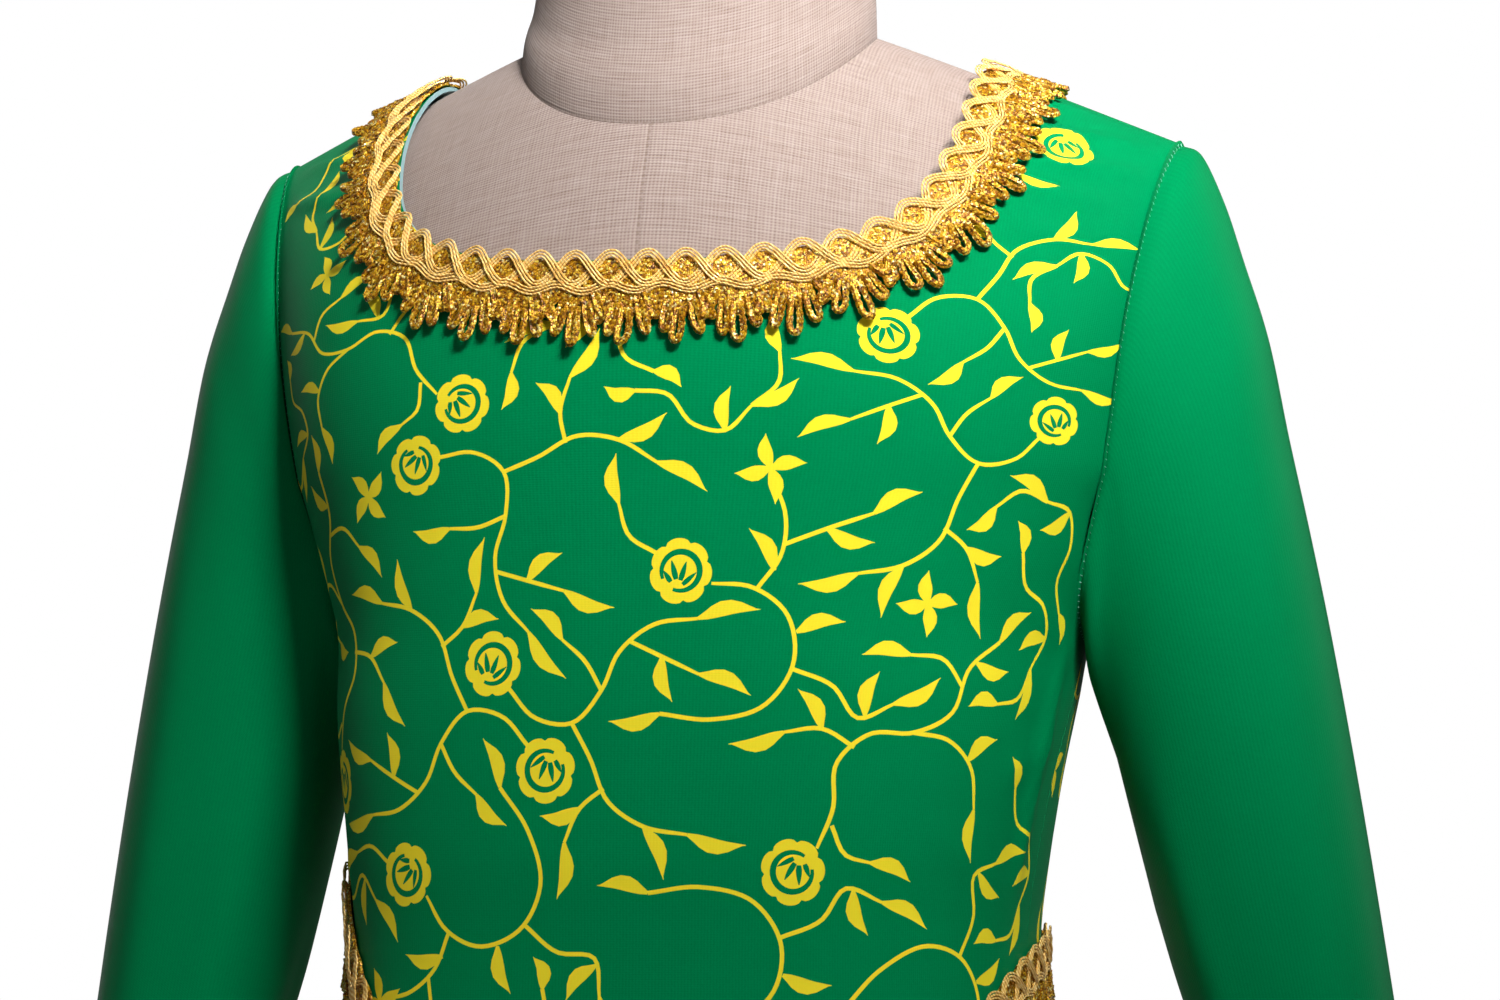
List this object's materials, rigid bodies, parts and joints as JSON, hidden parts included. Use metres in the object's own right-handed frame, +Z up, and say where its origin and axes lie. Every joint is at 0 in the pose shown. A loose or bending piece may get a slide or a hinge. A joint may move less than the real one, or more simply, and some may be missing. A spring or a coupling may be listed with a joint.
{
  "type": "costume dress on a limbless dress form",
  "caption": "Child's long green stretch costume dress with yellow rose print and gold braid lace trim, on a linen-covered limbless dress form.",
  "frame": {"origin": "centre of the round base's underside, on the floor", "axes": "+Z up the pole, -Y out of the front of the dress, +X to the wearer's left"},
  "size_m": [0.4746, 0.377, 1.0523],
  "materials": {
    "printed_knit": "soft green stretch knit with a yellow rose and vine print",
    "plain_knit": "soft green stretch knit with a low satin sheen",
    "gold_braid": "metallic gold braid and looped lace",
    "linen": "matt linen cover with slubs",
    "beech": "satin varnished beech",
    "steel_tube": "brushed",
    "white_steel": "smooth white paint"
  },
  "bodies": {
    "root": {"bodice_front": "printed_knit", "bodice_back": "printed_knit", "sleeve_left": "plain_knit", "sleeve_right": "plain_knit", "skirt_front": "plain_knit", "skirt_back": "plain_knit", "neck_trim": "gold_braid", "girdle_trim": "gold_braid", "form_torso": "linen", "neck_cap": "beech", "form_pole": "steel_tube", "form_base": "white_steel"}
  },
  "joints": []
}
